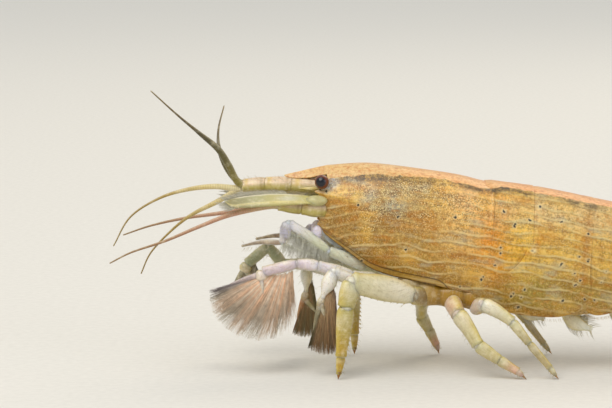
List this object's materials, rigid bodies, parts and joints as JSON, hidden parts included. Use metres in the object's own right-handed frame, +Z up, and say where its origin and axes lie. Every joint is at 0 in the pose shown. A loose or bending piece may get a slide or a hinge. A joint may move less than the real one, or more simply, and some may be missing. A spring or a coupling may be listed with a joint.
{
  "type": "fan shrimp model",
  "caption": "Still life-size model of a freshwater fan shrimp standing on its walking legs, with long feelers, lowered bristle fans, banded tail segments and a spread tail fan.",
  "frame": {"origin": "on the floor, under the middle of the whole animal's box", "axes": "+X towards the tail, so the head faces -X; +Y towards the animal's right side; +Z up from the floor"},
  "size_m": [0.1007, 0.0227, 0.0414],
  "materials": {
    "carapace": "thin horny shell, satin, ochre with brown and pale lengthwise streaks",
    "pleon": "thin horny shell, satin, ochre and olive with rust bands",
    "membrane": "soft pale joint skin, satin",
    "mouthparts": "ivory horn, satin",
    "eye": "wet, dark and glossy",
    "antennule_stem": "horn, satin, speckled above",
    "whip": "thin ringed horn, satin",
    "antennal_scale": "thin horn plate, satin",
    "pleopod": "thin horn, satin",
    "cheliped": "ivory horn, satin",
    "fan": "brushes of brown bristles, silky",
    "walking_leg": "pale horn, satin",
    "tail_fan": "thin horn plates, satin"
  },
  "bodies": {
    "root": {"carapace": "carapace", "rostrum": "carapace", "thorax_underside": "membrane", "mouthparts": "mouthparts", "pleon_somite_1": "pleon", "pleon_somite_2": "pleon", "pleon_somite_3": "pleon", "pleon_somite_4": "pleon", "pleon_somite_5": "pleon", "pleon_somite_6": "pleon", "eye_left": "eye", "antennule_stem_left": "antennule_stem", "antennule_outer_whip_left": "whip", "antennule_inner_whip_left": "whip", "antennal_scale_left": "antennal_scale", "antenna_stem_left": "antennal_scale", "antenna_whip_left": "whip", "maxilliped_third_left": "mouthparts", "pleopod_1_left": "pleopod", "pleopod_2_left": "pleopod", "pleopod_3_left": "pleopod", "pleopod_4_left": "pleopod", "pleopod_5_left": "pleopod", "cheliped_first_left": "cheliped", "fan_first_left": "fan", "cheliped_second_left": "cheliped", "fan_second_left": "fan", "leg_third_left": "walking_leg", "leg_fourth_left": "walking_leg", "leg_fifth_left": "walking_leg", "uropod_inner_left": "tail_fan", "uropod_outer_left": "tail_fan", "eye_right": "eye", "antennule_stem_right": "antennule_stem", "antennule_outer_whip_right": "whip", "antennule_inner_whip_right": "whip", "antennal_scale_right": "antennal_scale", "antenna_stem_right": "antennal_scale", "antenna_whip_right": "whip", "maxilliped_third_right": "mouthparts", "pleopod_1_right": "pleopod", "pleopod_2_right": "pleopod", "pleopod_3_right": "pleopod", "pleopod_4_right": "pleopod", "pleopod_5_right": "pleopod", "cheliped_first_right": "cheliped", "fan_first_right": "fan", "cheliped_second_right": "cheliped", "fan_second_right": "fan", "leg_third_right": "walking_leg", "leg_fourth_right": "walking_leg", "leg_fifth_right": "walking_leg", "uropod_inner_right": "tail_fan", "uropod_outer_right": "tail_fan", "telson": "tail_fan"}
  },
  "joints": []
}
